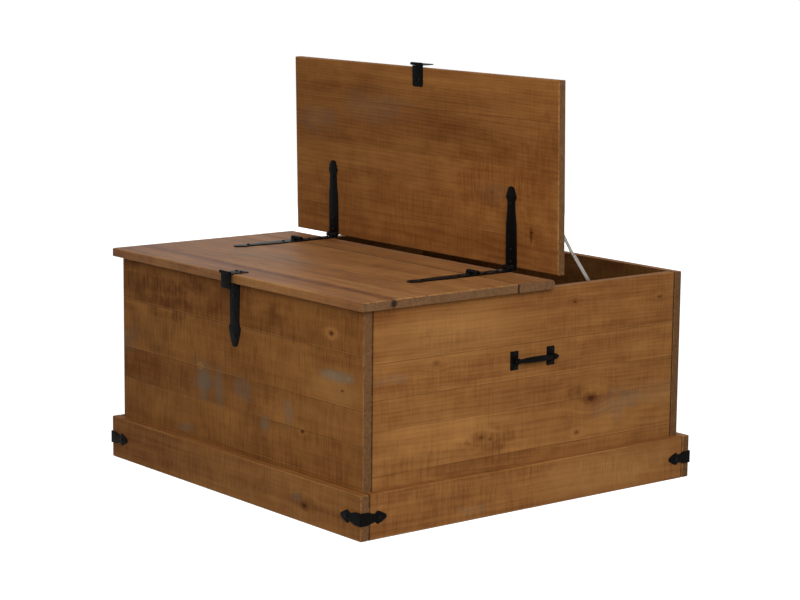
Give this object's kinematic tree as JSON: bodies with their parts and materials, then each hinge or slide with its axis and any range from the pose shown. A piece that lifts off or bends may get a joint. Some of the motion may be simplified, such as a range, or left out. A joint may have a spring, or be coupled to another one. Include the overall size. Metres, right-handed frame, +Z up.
{
  "type": "storage trunk",
  "caption": "Square wooden storage trunk with two hinged lids either side of a fixed centre board, strap hinges, hasps, end handles, folding lid stays and a plinth.",
  "frame": {"origin": "on the floor, under the middle of the box", "axes": "+X to the right end with the lid stays, -Y to the front, +Z up; the front lid is shut and the rear lid stands open"},
  "size_m": [0.8456, 0.8489, 0.8208],
  "materials": {
    "pine_top": "waxed",
    "pine_box": "waxed",
    "pine_plinth": "waxed",
    "pine_inside": "bare",
    "black_iron": "matt black",
    "iron_screw": "satin black",
    "stay_steel": "dull zinc plate"
  },
  "bodies": {
    "trunk": {"bottom_cleats": "pine_inside", "bottom_panel": "pine_inside", "box_screws": "iron_screw", "centre_board": "pine_top", "centre_board_blocks": "pine_inside", "corner_bracket_front_left": "black_iron", "corner_bracket_front_right": "black_iron", "corner_bracket_rear_left": "black_iron", "corner_bracket_rear_right": "black_iron", "corner_bracket_screws": "iron_screw", "front_board_leaf_left": "black_iron", "front_board_leaf_right": "black_iron", "front_hasp_strap": "black_iron", "front_panel": "pine_box", "front_plinth": "pine_plinth", "front_stay_box_bracket": "stay_steel", "hinge_pins": "black_iron", "left_handle_bar": "black_iron", "left_handle_plates": "black_iron", "left_panel": "pine_box", "left_plinth": "pine_plinth", "rear_board_leaf_left": "black_iron", "rear_board_leaf_right": "black_iron", "rear_hasp_strap": "black_iron", "rear_panel": "pine_box", "rear_plinth": "pine_plinth", "rear_stay_box_bracket": "stay_steel", "right_handle_bar": "black_iron", "right_handle_plates": "black_iron", "right_panel": "pine_box", "right_plinth": "pine_plinth", "stay_box_rivets": "stay_steel", "stay_box_screws": "stay_steel"},
    "rear_lid": {"rear_lid": "pine_top", "rear_strap_left": "black_iron", "rear_strap_right": "black_iron", "rear_lid_screws": "iron_screw", "rear_hasp_leaf": "black_iron", "rear_hasp_pin": "black_iron", "rear_stay_lid_bracket": "stay_steel", "rear_stay_lid_screws": "stay_steel", "rear_stay_lid_rivet": "stay_steel"},
    "rear_hasp_flap": {"rear_hasp_flap": "black_iron"},
    "rear_stay_upper": {"rear_stay_upper_link": "stay_steel"},
    "rear_stay_lower": {"rear_stay_lower_link": "stay_steel", "rear_stay_elbow_rivet": "stay_steel"},
    "front_lid": {"front_lid": "pine_top", "front_strap_left": "black_iron", "front_strap_right": "black_iron", "front_lid_screws": "iron_screw", "front_hasp_leaf": "black_iron", "front_hasp_pin": "black_iron", "front_stay_lid_bracket": "stay_steel", "front_stay_lid_screws": "stay_steel", "front_stay_lid_rivet": "stay_steel"},
    "front_hasp_flap": {"front_hasp_flap": "black_iron"},
    "front_stay_upper": {"front_stay_upper_link": "stay_steel"},
    "front_stay_lower": {"front_stay_lower_link": "stay_steel", "front_stay_elbow_rivet": "stay_steel"}
  },
  "joints": [
    {"name": "rear_lid_hinge", "type": "hinge", "parent": "trunk", "child": "rear_lid", "pos_m": [0, 0.04625, 0.441], "axis": [1, 0, 0], "range_deg": [-91.25, 0]},
    {"name": "front_lid_hinge", "type": "hinge", "parent": "trunk", "child": "front_lid", "pos_m": [0, -0.04625, 0.441], "axis": [-1, 0, 0], "range_deg": [0, 91.25]},
    {"name": "rear_hasp_hinge", "type": "hinge", "parent": "rear_lid", "child": "rear_hasp_flap", "pos_m": [0, 0.04103, 0.81773], "axis": [1, 0, 0], "range_deg": [0, 265]},
    {"name": "front_hasp_hinge", "type": "hinge", "parent": "front_lid", "child": "front_hasp_flap", "pos_m": [0, -0.423, 0.438], "axis": [-1, 0, 0], "range_deg": [0, 265]},
    {"name": "rear_stay_lower_pivot", "type": "hinge", "parent": "trunk", "child": "rear_stay_lower", "pos_m": [0, 0.2, 0.372], "axis": [1, 0, 0], "range_deg": [0, 66.66]},
    {"name": "rear_stay_upper_pivot", "type": "hinge", "parent": "rear_lid", "child": "rear_stay_upper", "pos_m": [0, 0.07906, 0.54174], "axis": [1, 0, 0], "range_deg": [0, 12.72]},
    {"name": "front_stay_lower_pivot", "type": "hinge", "parent": "trunk", "child": "front_stay_lower", "pos_m": [0, -0.2, 0.372], "axis": [-1, 0, 0], "range_deg": [-66.66, 0]},
    {"name": "front_stay_upper_pivot", "type": "hinge", "parent": "front_lid", "child": "front_stay_upper", "pos_m": [0, -0.14625, 0.406], "axis": [-1, 0, 0], "range_deg": [-12.72, 0]}
  ],
  "couplings": [
    {"joint": "rear_stay_lower_pivot", "follows": "rear_lid_hinge", "ratio": -0.72992},
    {"joint": "rear_stay_upper_pivot", "follows": "rear_lid_hinge", "ratio": -0.13883},
    {"joint": "front_stay_lower_pivot", "follows": "front_lid_hinge", "ratio": -0.72992},
    {"joint": "front_stay_upper_pivot", "follows": "front_lid_hinge", "ratio": -0.13883}
  ]
}
